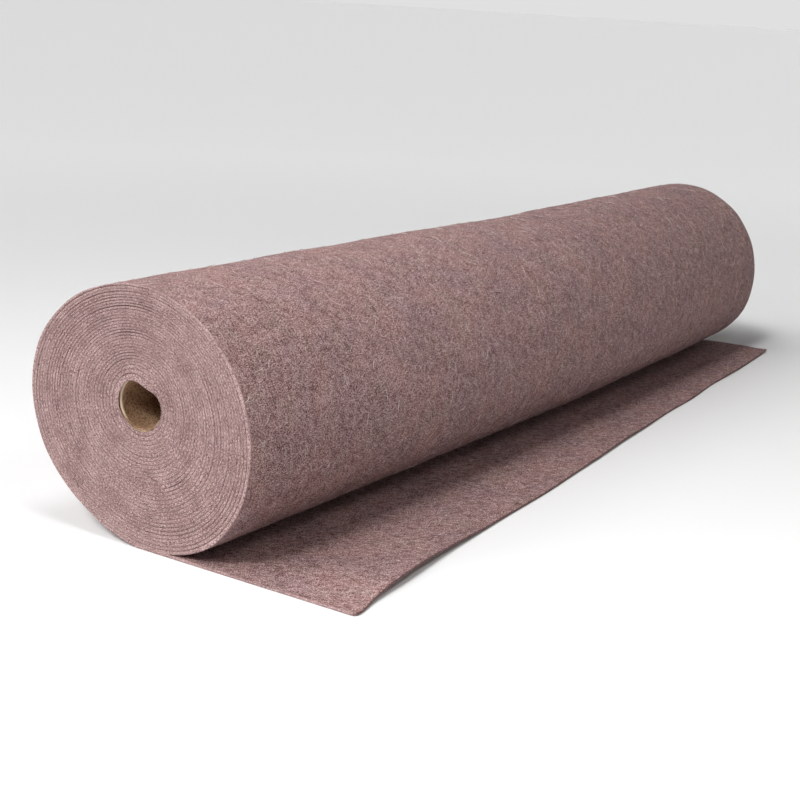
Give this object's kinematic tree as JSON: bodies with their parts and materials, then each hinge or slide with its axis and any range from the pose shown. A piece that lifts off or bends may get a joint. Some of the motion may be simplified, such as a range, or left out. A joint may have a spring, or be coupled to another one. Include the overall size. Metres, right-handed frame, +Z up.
{
  "type": "roll of protection fleece",
  "caption": "Wide roll of felted fibre fleece wound on a cardboard core, lying on its side with the free end of the web drawn out in front.",
  "frame": {"origin": "centre of the core's bore, halfway along the roll", "axes": "+X along the core, from the end where the tail reaches furthest to the other end; +Z up; -Y towards the loose tail"},
  "size_m": [2, 0.5822, 0.3854],
  "materials": {
    "fleece": "felted recycled fibres, mauve brown mottled with beige, grey and dark flecks",
    "core_board": "spiral-wound kraft board, matt"
  },
  "bodies": {
    "root": {"fleece_web": "fleece", "core_tube": "core_board"}
  },
  "joints": []
}
